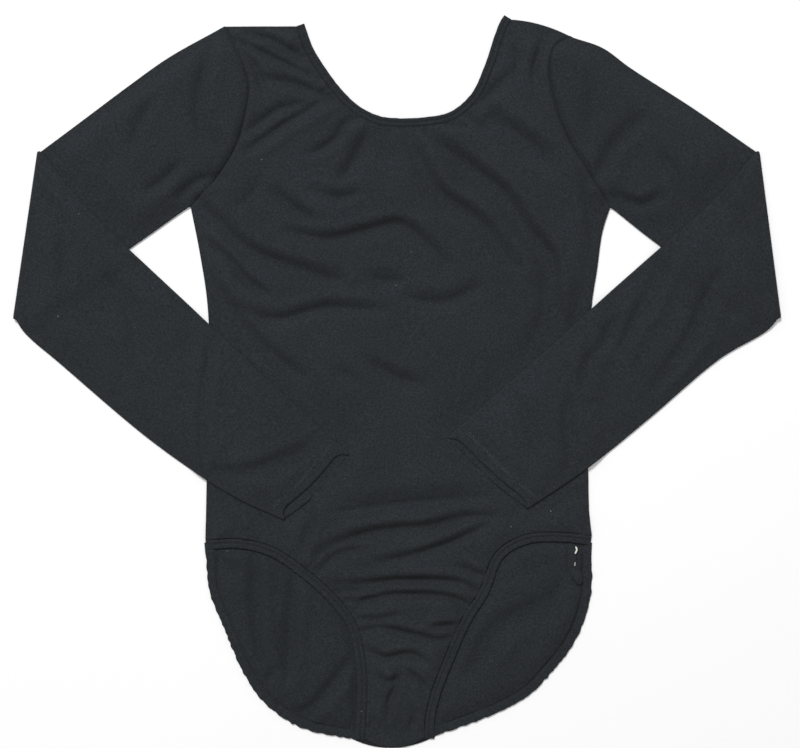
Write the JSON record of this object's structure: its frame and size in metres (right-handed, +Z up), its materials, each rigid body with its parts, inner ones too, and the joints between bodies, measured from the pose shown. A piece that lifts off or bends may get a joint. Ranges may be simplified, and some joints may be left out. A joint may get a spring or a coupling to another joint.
{
  "type": "leotard",
  "caption": "Long-sleeved black jersey dance leotard with a gathered scoop neck, laid flat with the sleeves folded over the front.",
  "frame": {"origin": "middle of the laid-out garment's outline, on the surface it lies on", "axes": "+Z up from the surface, +Y from the crotch to the neck, +X across the garment to the right as seen from above"},
  "size_m": [0.6945, 0.6631, 0.0087],
  "materials": {
    "jersey": "matt black cotton and elastane jersey, right side",
    "jersey_wrong_side": "wrong side of the same jersey, a little more napped",
    "elastic_band": "the same jersey folded over elastic and gathered"
  },
  "bodies": {
    "root": {"front_panel": "jersey", "back_panel": "jersey_wrong_side", "left_sleeve": "jersey", "right_sleeve": "jersey", "neck_band_front": "elastic_band", "neck_band_back": "elastic_band", "leg_band_front_left": "elastic_band", "leg_band_front_right": "elastic_band", "leg_band_back_left": "elastic_band", "leg_band_back_right": "elastic_band"}
  },
  "joints": []
}
